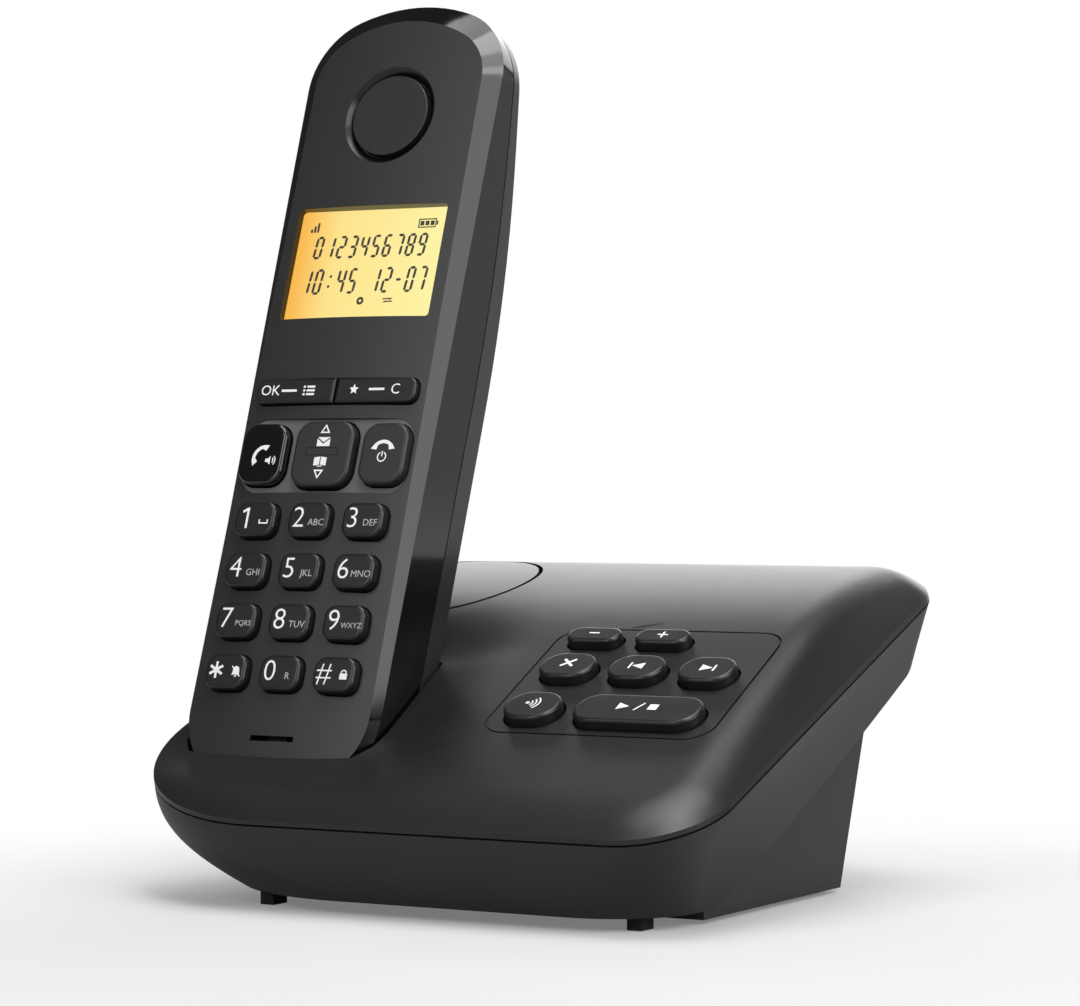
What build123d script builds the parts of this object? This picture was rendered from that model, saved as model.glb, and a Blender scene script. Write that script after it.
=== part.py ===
from build123d import *
from math import cos, exp, hypot, radians, sin, tan
import os

# Base outline in the seam between its two shells, in millimetres and degrees
base_width = 132.5
base_depth = 113
seam_tilt = 21
seam_front_height = 16.2
front_left_radius = 39.5
front_right_radius = 17
rear_right_radius = 12.5
rear_left_radius = 24
base_wall = 2.2
seam_gap = 0.4
tongue_height = 1.6
tongue_depth = 4
tongue_thickness = 1.2
tongue_slack = 0.3

# Top of the base, as heights above the seam
top_front_height = 3.9
top_slope = 6
bend_start = 6
rear_fall = 11.6
edge_roll = 11
edge_height = 1.2
edge_power = 2.4
top_reach = 20
top_draft = 3.5
dip_front = 5.2
dip_rear = 2.5
dip_reach = 14
top_sink = 5

# Hull of the base: sections from the seam down to the flat underside
floor_gap = 2.5
hull_levels = (1, 0.66, 0.33, 0.11, 0)
hull_left_inset = 16
hull_left_power = 2.4
hull_right_inset = 11
hull_right_power = 0.8
hull_front_inset = 6.5
hull_front_power = 1.7
hull_rear_inset = 12
hull_rear_power = 1.5
rear_rise_start = -26
rear_rise_angle = 29.3

# Stand under the rear of the base
stand_left = -34
stand_right = 55.2
stand_front = -30
stand_rear = 29
stand_lean = 20.4
stand_sink = 8
pad_height = 0.9
pad_radius = 5
pad_inset = 9

# Front feet
foot_width = 3
foot_length = 4.6
foot_left = -31
foot_right = 48
foot_front = -43.3

# Handset outline, seen from the front
handset_length = 167.4
handset_low_width = 43.8
handset_high_width = 47
handset_low_radius = 15
handset_high_radius = 16
handset_arch = 8.6
face_low_inset = 1.2
face_high_inset = 4.6
bevel_depth = 3.2
face_crown_radius = 260
face_wall = 2.2
side_wall = 2
shoulder_wall = 0.9
shoulder_depth = 1
back_wall = 2

# Handset thickness, which falls away at the head and at the heel
handset_thickness = 24.5
taper_start = 80
taper_drop = 19.5
taper_power = 2.2
blunt_share = 0.3
blunt_power = 8
heel_length = 12
heel_drop = 12
back_crown_share = 0.2
back_crown_power = 2.6
seam_depth_share = 0.6
handset_seam_gap = 0.35
lip_height = 1.5
lip_depth = 3
lip_thickness = 1
lip_slack = 0.15

# Place of the handset in the cradle
handset_lean = 19.1
handset_across = -38.4
handset_forward = -34
handset_foot_height = 21.3
pocket_clearance = 0.6
pocket_wall = 1.8
pocket_slack = 0.4

# Number keys
keypad_columns = 3
keypad_rows = 4
column_pitch = 12.6
row_pitch = 10.5
keypad_middle = 38.3
number_key_width = 9.3
number_key_height = 7.2
number_key_radius = 2.4
number_key_top = 1.8
key_gap = 0.3
key_round = 0.7
end_round_share = 0.47
key_flange = 0.7
flange_thickness = 0.8
flange_slack = 0.15
key_travel = 0.9
travel_slack = 0.2

# Talk, navigation and end keys in their shallow recess
control_middle = 68
control_spacing = 14.2
control_recess_width = 39.4
control_recess_height = 15.6
control_recess_radius = 4.5
control_recess_depth = 0.7
side_key_width = 10.4
side_key_height = 12.8
side_key_radius = 3.4
control_key_top = 1.3
rocker_width = 13.6
rocker_height = 13.8
rocker_radius = 3.6
rocker_gap = 0.45
rocker_skirt_depth = 0.9
pivot_radius = 1

# Soft keys under the display
soft_middle = 81.5
soft_width = 37.6
soft_height = 5.2
soft_radius = 1.9
soft_split = 0.5
soft_key_top = 0.8

# Display
display_middle = 109.6
display_width = 35.4
display_height = 24.2
display_radius = 0.8
lens_border = 1.4
lens_thickness = 1
panel_inset = 0.5

# Earpiece
earpiece_middle = 141.8
earpiece_radius = 10.7
earpiece_taper = 1.5
earpiece_chamfer_depth = 1.5
earpiece_cap_radius = 8.8
earpiece_cap_sink = 0.2
earpiece_flange = 0.9
earpiece_flange_thickness = 0.8
earpiece_speaker_depth = 3.6
sound_hole_radius = 0.2
sound_hole_count = 24

# Microphone
microphone_middle = 9.7
microphone_slot_width = 10
microphone_slot_height = 1.1
microphone_radius = 2.2

# Handset board and key mat
mat_thickness = 1
board_thickness = 1.2
mat_width = 37
mat_low = 18
mat_high = 87
board_width = 36
board_low = 7.5
board_high = 128
board_radius = 7
post_radius = 1.5
post_across = 14.5
post_low = 12.5
post_high = 126

# Battery bay in the back of the handset
door_low = 48
door_high = 104
door_width = 29
door_radius = 3
door_gap = 0.35
bay_ledge = 2.2
bay_frame = 1.6
bay_floor_depth = 9.4
bay_floor_thickness = 1.2
hook_width = 5
hook_reach = 2.6
hook_thickness = 1.1
hook_across = 7
cell_radius = 5.25
cell_length = 44.5
cell_across = 5.7
cell_depth = 16.1
tip_radius = 1.9
tip_length = 0.8
contact_plate_width = 20
contact_plate_depth = 8
contact_plate_thickness = 0.6
contact_spring_radius = 2.4

# Ringer in the head of the handset
ringer_middle = 121
ringer_radius = 8.5
ringer_thickness = 3.4
ringer_slot_width = 11
ringer_slot_height = 1.2
ringer_slot_pitch = 2.8
ringer_slot_count = 5

# Charging contacts
charge_across = 7
charge_depth = 4.6
charge_pad_width = 4
charge_pad_depth = 3
charge_pad_reach = 2.4
charge_pin_radius = 1.1
charge_pin_gap = 0.1
charge_pin_slack = 0.15
charge_pin_tail = 1.6

# Answering machine keys, measured up the slope of the top
panel_across = 31.8
panel_along = -10.7
answer_column_pitch = 14.9
answer_low_row = -12.8
answer_mid_row = 2.4
answer_high_row = 14.3
answer_key_width = 11.4
answer_low_height = 9.6
answer_mid_height = 8.8
answer_high_height = 5.2
answer_key_top = 2.2
answer_key_gap = 0.45
panel_width = 48.6
panel_height = 40
panel_radius = 5.5
panel_line = 0.45
panel_line_depth = 0.4

# Base board, key mat and loudspeaker
base_board_width = 56
base_board_height = 46
base_board_thickness = 1.6
base_mat_width = 42
base_mat_height = 36
base_post_radius = 2
base_post_inset = 2.5
speaker_across = -31.8
speaker_along = 33.5
speaker_radius = 17.5
speaker_line = 0.9
speaker_cover_thickness = 2
speaker_ledge = 1.5
speaker_ledge_thickness = 1.2
loudspeaker_radius = 15
loudspeaker_depth = 7

# Sockets in the rear of the stand
socket_height = 14
line_socket_across = 38
line_socket_width = 14
line_socket_tall = 11
line_socket_depth = 14
line_opening_width = 10
line_opening_tall = 7
line_opening_depth = 11
power_socket_across = 12
power_socket_width = 11
power_socket_tall = 11
power_socket_depth = 13
power_opening_radius = 3.6
power_pin_radius = 0.9
power_opening_depth = 10
socket_sink = 0.3

# Screws that hold the base together
screw_radius = 1.5
screw_head_radius = 2.9
screw_head_height = 2
screw_well_gap = 0.3
screw_well_depth = 3
boss_radius = 3.4
screw_across_left = -2
screw_across_right = 25
screw_front = -20
screw_rear = 22
screw_reach = 18
boss_gap = 0.2

# Modelling values: how far cuts overrun, and how finely curved surfaces are sampled
overrun = 3
samples_across = 52
samples_along = 48
handset_samples_across = 17
handset_samples_along = 45


def place(shapes, across, along, up):
    return Pos(across, along, up) * shapes


def prism(outline, low, high):
    return place(extrude(outline, amount=high - low), 0, 0, low)


def block(left, right, front, rear, low, high):
    outline = Pos((left + right) / 2, (front + rear) / 2) * Rectangle(right - left, rear - front)
    return prism(outline, low, high)


def rounded(width, height, radius):
    return RectangleRounded(width, height, radius)


def rod(radius, low, high):
    return prism(Circle(radius), low, high)


# A solid that fills the space under a curved surface, given as a height over the plane
def under_surface(height, left, right, front, rear, across_count, along_count, drop):
    rows = []
    for step in range(across_count):
        u = left + (right - left) * step / (across_count - 1)
        row = []
        for stride in range(along_count):
            v = front + (rear - front) * stride / (along_count - 1)
            row.append((u, v, height(u, v)))
        rows.append(row)
    surface = Face.make_surface_from_array_of_points(rows)
    return extrude(surface, amount=drop, dir=(0, 0, -1))


# Frames of the base, the answering keys and the handset
tilt = radians(seam_tilt)
lean = radians(handset_lean)
seam_mid_height = seam_front_height + base_depth / 2 * tan(tilt)
seam_length = base_depth / cos(tilt)
seam_place = Plane((0, 0, seam_mid_height), (1, 0, 0), (0, -sin(tilt), cos(tilt))).location
handset_foot = (handset_across, handset_forward, handset_foot_height)
handset_place = Plane(handset_foot, (1, 0, 0), (0, -cos(lean), sin(lean))).location
seam_from_handset = seam_place.inverse() * handset_place


def corner_outline(left, right, south, north, trim):
    west = -base_width / 2 + left
    east = base_width / 2 - right
    corners = [(west, south), (east, south), (east, north), (west, north)]
    radii = [radius - trim for radius in
             (front_left_radius, front_right_radius, rear_right_radius, rear_left_radius)]
    return make_face(FilletPolyline(*corners, radius=radii, close=True))


def base_inset(amount):
    return corner_outline(amount, amount, amount - seam_length / 2, seam_length / 2 - amount, amount)


# Distance inwards from the base's outline
def edge_distance(u, v):
    if v < 0:
        radius = front_left_radius if u < 0 else front_right_radius
    else:
        radius = rear_left_radius if u < 0 else rear_right_radius
    outer_u = abs(u) - base_width / 2 + radius
    outer_v = abs(v) - seam_length / 2 + radius
    return radius - min(max(outer_u, outer_v), 0) - hypot(max(outer_u, 0), max(outer_v, 0))


# The handset's footprint on the seam, from which the top dips
slope_span = sin(radians(90) - lean - tilt)
pocket_front_along = (handset_forward + (seam_mid_height + handset_forward * tan(tilt) - handset_foot_height)
                      * tan(lean) / (1 - tan(tilt) * tan(lean))) / cos(tilt)
pocket_span = handset_thickness / slope_span


def dip(u, v):
    beside = abs(u - handset_across) - handset_low_width / 2
    ahead = abs(v - pocket_front_along - pocket_span / 2) - pocket_span / 2
    away = hypot(max(beside, 0), max(ahead, 0))
    share = min(max((v - pocket_front_along) / pocket_span, 0), 1)
    depth = dip_front + (dip_rear - dip_front) * share
    return depth * exp(-(away / dip_reach) ** 2)


def slope_height(v):
    rise = (v + seam_length / 2) * tan(radians(top_slope))
    bend = max(v - bend_start, 0) / (seam_length / 2 - bend_start)
    return top_front_height + rise - rear_fall * bend ** 2


def top_height(u, v):
    inward = min(edge_distance(u, v), edge_roll) / edge_roll
    roll = 1 - (1 - inward) ** edge_power
    return edge_height + (slope_height(v) - dip(u, v) - edge_height) * roll


# Top shell of the base, before its openings
half_width = base_width / 2 + overrun
half_length = seam_length / 2 + overrun
top_field = under_surface(top_height, -half_width, half_width, -half_length, half_length,
                          samples_across, samples_along, base_depth)


def top_block(inset, low):
    lower = place(base_inset(inset), 0, 0, low)
    upper = place(base_inset(inset + top_draft), 0, 0, top_reach)
    return loft([lower, upper], ruled=True)


# Under the dip the shell hangs below the seam, clear of the tongue
draft_there = top_draft * (tongue_height + overrun) / (top_reach + overrun)
tongue_inset = base_wall + draft_there + tongue_slack
sunk_outline = base_inset(tongue_inset + tongue_thickness + tongue_slack)
sunk_outer = prism(sunk_outline, -top_sink, top_front_height)
sunk_inner = prism(base_inset(tongue_inset), -top_sink - overrun, 0)
top_outer = (top_block(0, seam_gap) + sunk_outer) & top_field
top_inner = (top_block(base_wall, -overrun) + sunk_inner) & place(top_field, 0, 0, -base_wall)
top_shell = top_outer - top_inner

# Bottom shell of the base: a hull with the stand under its rear
def hull_section(level, wall):
    down = 1 - level
    slope = tilt * level
    left = hull_left_inset * down ** hull_left_power + wall
    right = hull_right_inset * down ** hull_right_power + wall
    front = hull_front_inset * down ** hull_front_power + wall
    rear = hull_rear_inset * down ** hull_rear_power + wall
    height = floor_gap + (seam_front_height - floor_gap) * level + wall * down
    outline = corner_outline(left, right, front / cos(slope), (base_depth - rear) / cos(slope), wall)
    return Plane((0, -base_depth / 2, height), (1, 0, 0), (0, -sin(slope), cos(slope))).location * outline


def hull_block(wall):
    return loft([hull_section(level, wall) for level in hull_levels])


# The space under the rear slope of the hull
def rear_wedge(wall):
    rise = radians(rear_rise_angle)
    slope = Plane((0, rear_rise_start, floor_gap), (1, 0, 0), (0, -sin(rise), cos(rise))).location
    return slope * prism(Rectangle(base_width + base_width, base_depth + base_depth), -base_depth, wall)


def stand_block(inset, low, sink):
    rise = tan(radians(rear_rise_angle))
    back = tan(radians(stand_lean))
    heel = stand_rear - inset
    top_front = floor_gap + sink
    rear_y = (heel + (top_front - low - rise * rear_rise_start) * back) / (1 - rise * back)
    rear_z = top_front + (rear_y - rear_rise_start) * rise
    profile = Polyline(
        (stand_front + inset, low),
        (heel, low),
        (rear_y, rear_z),
        (rear_rise_start, top_front),
        (stand_front + inset, top_front),
        close=True,
    )
    face = Plane.YZ * make_face(profile)
    width = stand_right - stand_left - inset - inset
    return Pos(stand_left + inset, 0, 0) * extrude(face, amount=width)


hull_outer = hull_block(0) - rear_wedge(0)
hull_inner = hull_block(base_wall) - rear_wedge(base_wall)
stand_outer = stand_block(0, pad_height, stand_sink)
stand_inner = stand_block(base_wall, pad_height + base_wall, stand_sink)
bottom_outer = hull_outer + stand_outer

# Tongue inside the seam, which stands on a ledge of the bottom shell
tongue_inner = prism(base_inset(tongue_inset + tongue_thickness), -tongue_depth - overrun, tongue_height + overrun)
tongue = prism(base_inset(tongue_inset), -tongue_depth, tongue_height) - tongue_inner
tongue = tongue & place(top_field, 0, 0, -base_wall - tongue_slack)
ledge = prism(base_inset(base_wall / 2), -tongue_depth, -tongue_slack) - tongue_inner
ledge = (seam_place * ledge) & hull_outer
bottom_shell = bottom_outer - hull_inner - stand_inner + ledge + (seam_place * tongue - rear_wedge(0))


# Handset outlines
def handset_outline(low_inset, high_inset):
    low_half = handset_low_width / 2 - low_inset
    high_half = handset_high_width / 2 - high_inset
    shoulder = handset_length - handset_arch - high_inset
    sides = Polyline((-high_half, shoulder), (-low_half, low_inset), (low_half, low_inset), (high_half, shoulder))
    arch = ThreePointArc((high_half, shoulder), (0, handset_length - high_inset), (-high_half, shoulder))
    outline = make_face(sides + arch)
    corners = outline.vertices().sort_by(Axis.Y)
    outline = fillet(corners[0:2], handset_low_radius - low_inset)
    corners = outline.vertices().sort_by(Axis.Y)
    return fillet(corners[-2:], handset_high_radius - high_inset)


def thickness(s):
    head = max(s - taper_start, 0) / (handset_length - taper_start)
    heel = max(1 - s / heel_length, 0)
    taper = taper_drop * head ** taper_power / (1 + blunt_share * head ** blunt_power)
    return handset_thickness - taper - heel_drop * heel ** 2


def back_height(x, s):
    crown = back_crown_share * thickness(s) * (2 * abs(x) / handset_high_width) ** back_crown_power
    return crown - thickness(s)


def parting_height(x, s):
    return -seam_depth_share * thickness(s)


def handset_field(height, drop):
    half = handset_high_width / 2 + overrun
    return under_surface(height, -half, half, -overrun, handset_length + overrun,
                         handset_samples_across, handset_samples_along, drop)


# Handset body, split at the parting into front and rear shells
body_outline = handset_outline(0, 0)
face_outline = handset_outline(face_low_inset, face_high_inset)
back_field = handset_field(back_height, handset_thickness)
parting_field = handset_field(parting_height, handset_thickness + overrun)


def body_block(grow):
    wide = offset(body_outline, grow) if grow > 0 else body_outline
    narrow = offset(face_outline, grow) if grow > 0 else face_outline
    bevel = loft([place(wide, 0, 0, grow - bevel_depth), place(narrow, 0, 0, grow)], ruled=True)
    sides = prism(wide, -handset_thickness - grow - overrun, grow - bevel_depth)
    bar = Cylinder(face_crown_radius + grow, handset_length + handset_length)
    crown = Pos(0, handset_length / 2, -face_crown_radius) * (Rot(90, 0, 0) * bar)
    return ((bevel + sides) & crown) - place(back_field, 0, 0, -grow)


body = body_block(0)
cavity_outline = offset(body_outline, -side_wall)
shoulder = -bevel_depth - shoulder_depth
cavity = prism(cavity_outline, -handset_thickness - overrun, shoulder)
cavity = cavity + prism(offset(cavity_outline, -shoulder_wall), shoulder, -face_wall)
cavity = cavity - place(back_field, 0, 0, back_wall)
front_shell = body - parting_field - cavity
rear_body = body & place(parting_field, 0, 0, -handset_seam_gap)
rear_shell = rear_body - cavity
lip_outline = offset(cavity_outline, -lip_slack) - offset(cavity_outline, -lip_slack - lip_thickness)
lip_band = place(parting_field, 0, 0, lip_height) - place(parting_field, 0, 0, -lip_depth)
lip = prism(lip_outline, -handset_thickness, -face_wall - lip_slack) & lip_band
lip_root = prism(offset(cavity_outline, side_wall / 2) - offset(cavity_outline, -lip_slack - lip_thickness),
                 -handset_thickness, -face_wall)
lip_root = lip_root & place(parting_field, 0, 0, -handset_seam_gap - lip_slack)
lip_root = lip_root - place(parting_field, 0, 0, -lip_depth)
rear_shell = rear_shell + (lip - back_field) + (lip_root - back_field)

# Levels inside the handset, counted from its face
flange_top = -face_wall - flange_slack
flange_low = flange_top - flange_thickness
mat_top = flange_low - key_travel - travel_slack
board_top = mat_top - mat_thickness
board_low_face = board_top - board_thickness


def push_key(outline, top):
    cap = prism(outline, flange_top, top)
    cap = fillet(cap.faces().sort_by(Axis.Z)[-1].edges(), key_round)
    return cap + prism(offset(outline, key_flange), flange_low, flange_top)


def key_hole(outline, gap):
    return prism(offset(outline, gap), -face_wall - overrun, overrun)


parts = {}
handset_keys = {}

# Twelve number keys
number_outline = rounded(number_key_width, number_key_height, number_key_radius)
number_names = ["1", "2", "3", "4", "5", "6", "7", "8", "9", "star", "0", "hash"]
for index, name in enumerate(number_names):
    across = (index % keypad_columns - (keypad_columns - 1) / 2) * column_pitch
    along = keypad_middle + ((keypad_rows - 1) / 2 - index // keypad_columns) * row_pitch
    handset_keys["key_" + name] = place(push_key(number_outline, number_key_top), across, along, 0)
    front_shell = front_shell - place(key_hole(number_outline, key_gap), across, along, 0)

# Talk and end keys beside the navigation rocker
recess = rounded(control_recess_width, control_recess_height, control_recess_radius)
front_shell = front_shell - place(prism(recess, -control_recess_depth, overrun), 0, control_middle, 0)
side_outline = rounded(side_key_width, side_key_height, side_key_radius)
side_flange_room = prism(offset(side_outline, key_flange + key_gap), shoulder, -face_wall)
for name, side in (("talk_key", -1), ("end_key", 1)):
    across = side * control_spacing
    front_shell = front_shell - place(side_flange_room, across, control_middle, 0)
    handset_keys[name] = place(push_key(side_outline, control_key_top), across, control_middle, 0)
    front_shell = front_shell - place(key_hole(side_outline, key_gap), across, control_middle, 0)
rocker_outline = rounded(rocker_width, rocker_height, rocker_radius)
rocker = prism(rocker_outline, flange_low, control_key_top)
rocker = fillet(rocker.faces().sort_by(Axis.Z)[-1].edges(), key_round)
pivot = Pos(0, 0, flange_low - rocker_skirt_depth) * (Rot(0, 90, 0) * Cylinder(pivot_radius, rocker_width / 2))
rocker = rocker + pivot
handset_keys["navigation_key"] = place(rocker, 0, control_middle, 0)
front_shell = front_shell - place(key_hole(rocker_outline, rocker_gap), 0, control_middle, 0)

# Two soft keys in one slot
soft_slot = rounded(soft_width, soft_height, soft_radius)
front_shell = front_shell - place(key_hole(soft_slot, key_gap), 0, soft_middle, 0)
for name, side in (("left_soft_key", -1), ("right_soft_key", 1)):
    half = block(soft_split / 2, soft_width, -soft_height, soft_height, flange_low - overrun, overrun)
    half = half if side > 0 else mirror(half, Plane.YZ)
    key = prism(soft_slot, flange_top, soft_key_top) & half
    key = fillet(key.faces().sort_by(Axis.Z)[-1].edges(), soft_split)
    key = key + (prism(offset(soft_slot, key_flange), flange_low, flange_top) & half)
    handset_keys[name] = place(key, 0, soft_middle, 0)

# Display window behind its opening, with the panel under it
opening = rounded(display_width, display_height, display_radius)
front_shell = front_shell - place(prism(opening, -face_wall - overrun, overrun), 0, display_middle, 0)
lens_outline = offset(opening, lens_border)
lens = prism(lens_outline, -face_wall - lens_thickness, -face_wall)
parts["display_window"] = place(lens, 0, display_middle, 0)
panel = prism(offset(lens_outline, -panel_inset), board_top, -face_wall - lens_thickness)
parts["display_panel"] = place(panel, 0, display_middle, 0)

# Earpiece cap in a tapered round recess, over the receiver
ear_hole = loft([place(Circle(earpiece_radius), 0, 0, 0),
                 place(Circle(earpiece_radius - earpiece_taper), 0, 0, -earpiece_chamfer_depth)])
ear_hole = ear_hole + rod(earpiece_radius, 0, overrun)
ear_hole = ear_hole + rod(earpiece_radius - earpiece_taper, -face_wall - overrun, -earpiece_chamfer_depth)
front_shell = front_shell - place(ear_hole, 0, earpiece_middle, 0)
cap_low = -face_wall - earpiece_flange_thickness
cap = rod(earpiece_cap_radius, cap_low, -earpiece_cap_sink)
cap = fillet(cap.faces().sort_by(Axis.Z)[-1].edges(), earpiece_cap_sink)
cap = cap + rod(earpiece_radius + earpiece_flange, cap_low, -face_wall)
hole_ring = (earpiece_radius - earpiece_taper + earpiece_cap_radius) / 2
sound_holes = PolarLocations(hole_ring, sound_hole_count) * rod(sound_hole_radius, cap_low - overrun, overrun)
parts["earpiece_cap"] = place(cap - sound_holes, 0, earpiece_middle, 0)
receiver = rod(earpiece_radius - earpiece_taper, cap_low - earpiece_speaker_depth, cap_low)
parts["earpiece_speaker"] = place(receiver, 0, earpiece_middle, 0)

# Microphone behind its slot
slot = Rectangle(microphone_slot_width, microphone_slot_height)
front_shell = front_shell - place(prism(slot, -face_wall - overrun, overrun), 0, microphone_middle, 0)
parts["microphone"] = place(rod(microphone_radius, board_top, -face_wall), 0, microphone_middle, 0)

# Board and key mat, hung on four posts under the face
for along in (post_low, post_high):
    for across in (-post_across, post_across):
        front_shell = front_shell + place(rod(post_radius, board_top, -face_wall), across, along, 0)
mat = block(-mat_width / 2, mat_width / 2, mat_low, mat_high, board_top, mat_top)
rocker_well = Pos(0, control_middle, mat_top) * (
    Rot(0, 90, 0) * Cylinder(pivot_radius + travel_slack, rocker_width / 2 + key_flange))
parts["handset_key_mat"] = mat - rocker_well
board = prism(rounded(board_width, board_high - board_low, board_radius), board_low_face, board_top)
parts["handset_circuit_board"] = place(board, 0, (board_high + board_low) / 2, 0)

# Battery bay and its door
door_length = door_high - door_low
door_middle = (door_high + door_low) / 2
bay_half = door_width / 2 - bay_ledge
frame_half = door_width / 2 + bay_frame
frame_block = block(-frame_half, frame_half, door_low - bay_frame, door_high + bay_frame,
                    -handset_thickness, -bay_floor_depth)
bay = block(-bay_half, bay_half, door_low + bay_ledge, door_high - bay_ledge,
            -handset_thickness - overrun, -bay_floor_depth - bay_floor_thickness)
door_outline = Pos(0, door_middle) * rounded(door_width, door_length, door_radius)
door_layer = place(back_field, 0, 0, back_wall)
door_opening = prism(offset(door_outline, door_gap), -handset_thickness - overrun, 0)
rear_shell = rear_shell + (frame_block - back_field)
rear_shell = rear_shell - bay - (door_opening & place(back_field, 0, 0, back_wall + door_gap))
door = prism(door_outline, -handset_thickness - overrun, 0) & door_layer & body
hook_top = back_wall + door_gap + hook_thickness - handset_thickness
for across in (-hook_across, hook_across):
    hook = block(across - hook_width / 2, across + hook_width / 2, door_low - hook_reach,
                 door_low + bay_ledge + hook_reach, hook_top - hook_thickness, hook_top)
    hook = hook + block(across - hook_width / 2, across + hook_width / 2, door_low + bay_ledge + door_gap,
                        door_low + bay_ledge + hook_reach, back_wall / 2 - handset_thickness, hook_top)
    slot = block(across - hook_width / 2 - door_gap, across + hook_width / 2 + door_gap,
                 door_low - hook_reach - door_gap, door_low + bay_ledge + overrun,
                 hook_top - hook_thickness - door_gap, hook_top + hook_reach)
    rear_shell = rear_shell - slot
    door = door + hook
parts["battery_door"] = door

# Two cells with contact plates and springs at their ends
cell_low = (door_low + door_high - cell_length) / 2
cell_high = cell_low + cell_length
bay_low = door_low + bay_ledge
bay_high = door_high - bay_ledge
along_s = Rot(-90, 0, 0)
for name, side in (("battery_left", -1), ("battery_right", 1)):
    cell = rod(cell_radius, 0, cell_length - tip_length) + rod(tip_radius, 0, cell_length)
    parts[name] = Pos(side * cell_across, cell_low, -cell_depth) * (along_s * cell)
for name, wall, end in (("battery_spring_plate", bay_low, cell_low), ("battery_tip_plate", bay_high, cell_high)):
    inward = contact_plate_thickness if end > wall else -contact_plate_thickness
    plate = block(-contact_plate_width / 2, contact_plate_width / 2, min(wall, wall + inward),
                  max(wall, wall + inward), -cell_depth - contact_plate_depth / 2,
                  -cell_depth + contact_plate_depth / 2)
    for side in (-1, 1):
        spring = rod(contact_spring_radius, min(wall, end), max(wall, end))
        plate = plate + Pos(side * cell_across, 0, -cell_depth) * (along_s * spring)
    parts[name] = plate

# Ringer behind slots in the back of the head
ringer_face = back_wall - thickness(ringer_middle + ringer_radius)
for step in range(ringer_slot_count):
    along = ringer_middle + (step - (ringer_slot_count - 1) / 2) * ringer_slot_pitch
    ringer_slot = rounded(ringer_slot_width, ringer_slot_height, ringer_slot_height * end_round_share)
    rear_shell = rear_shell - place(prism(ringer_slot, -handset_thickness, ringer_face), 0, along, 0)
parts["ringer"] = place(rod(ringer_radius, ringer_face, ringer_face + ringer_thickness), 0, ringer_middle, 0)
ringer_cup = rod(ringer_radius + lip_thickness, -handset_thickness, ringer_face + ringer_thickness)
ringer_cup = place(ringer_cup - rod(ringer_radius, ringer_face, overrun), 0, ringer_middle, 0)
ringer_bore = place(rod(ringer_radius, -handset_thickness, ringer_face), 0, ringer_middle, 0)
rear_shell = rear_shell + ((ringer_cup - ringer_bore) & cavity)

# Charging pads in the foot of the handset
for name, side in (("handset_contact_left", -1), ("handset_contact_right", 1)):
    across = side * charge_across
    pad = block(across - charge_pad_width / 2, across + charge_pad_width / 2, 0, charge_pad_reach,
                -charge_depth - charge_pad_depth / 2, -charge_depth + charge_pad_depth / 2)
    front_shell = front_shell - pad
    parts[name] = pad

parts["handset_front_shell"] = front_shell
parts["handset_rear_shell"] = rear_shell
parts.update(handset_keys)
for name in parts:
    parts[name] = handset_place * parts[name]

# Cradle pocket for the foot of the handset
cup_depth = pocket_clearance + pocket_wall
pocket = body_block(pocket_clearance)
cup = body_block(cup_depth)
cup_room = body_block(cup_depth + pocket_slack)
top_shell = top_shell + ((seam_from_handset * cup) & top_field & top_block(0, -base_depth))
top_shell = top_shell - (seam_from_handset * pocket)
bottom_shell = bottom_shell - handset_place * cup_room

# Charging pins in the floor of the pocket
pin_low = -pocket_clearance - pocket_wall - charge_pin_tail
for name, side in (("charging_pin_left", -1), ("charging_pin_right", 1)):
    pin = rod(charge_pin_radius, pin_low, -charge_pin_gap)
    bore = rod(charge_pin_radius + charge_pin_slack, pin_low - overrun, 0)
    pin_place = Pos(side * charge_across, 0, -charge_depth) * along_s
    top_shell = top_shell - seam_from_handset * (pin_place * bore)
    parts[name] = handset_place * (pin_place * pin)

# Answering machine keys on the slope of the top
panel_plane = Plane((panel_across, panel_along, slope_height(panel_along)), (1, 0, 0),
                    (0, -sin(radians(top_slope)), cos(radians(top_slope))))
panel_place = panel_plane.location
answer_keys = (
    ("volume_down_key", -1, answer_high_row, answer_key_width, answer_high_height),
    ("volume_up_key", 0, answer_high_row, answer_key_width, answer_high_height),
    ("delete_key", -1, answer_mid_row, answer_key_width, answer_mid_height),
    ("back_key", 0, answer_mid_row, answer_key_width, answer_mid_height),
    ("forward_key", 1, answer_mid_row, answer_key_width, answer_mid_height),
    ("paging_key", -1, answer_low_row, answer_key_width, answer_low_height),
    ("play_stop_key", 0.5, answer_low_row, answer_key_width + answer_column_pitch, answer_low_height),
)
for name, column, along, width, height in answer_keys:
    outline = rounded(width, height, height * end_round_share)
    spot = panel_place * Pos(column * answer_column_pitch, along, 0)
    parts[name] = seam_place * (spot * push_key(outline, answer_key_top))
    top_shell = top_shell - spot * key_hole(outline, answer_key_gap)
line_outline = rounded(panel_width, panel_height, panel_radius)
panel_groove = line_outline - offset(line_outline, -panel_line)
top_shell = top_shell - panel_place * prism(panel_groove, -panel_line_depth, overrun)

# Base board under its key mat, hung on posts
for across in (-1, 1):
    for along in (-1, 1):
        spot = Pos(across * (base_board_width / 2 - base_post_inset),
                   along * (base_board_height / 2 - base_post_inset), 0)
        post = panel_place * (spot * rod(base_post_radius, board_top, base_wall)) & top_field
        top_shell = top_shell + post
base_mat = prism(Rectangle(base_mat_width, base_mat_height), board_top, mat_top)
parts["base_key_mat"] = seam_place * (panel_place * base_mat)
base_board = prism(Rectangle(base_board_width, base_board_height), board_top - base_board_thickness, board_top)
parts["base_circuit_board"] = seam_place * (panel_place * base_board)

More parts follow.
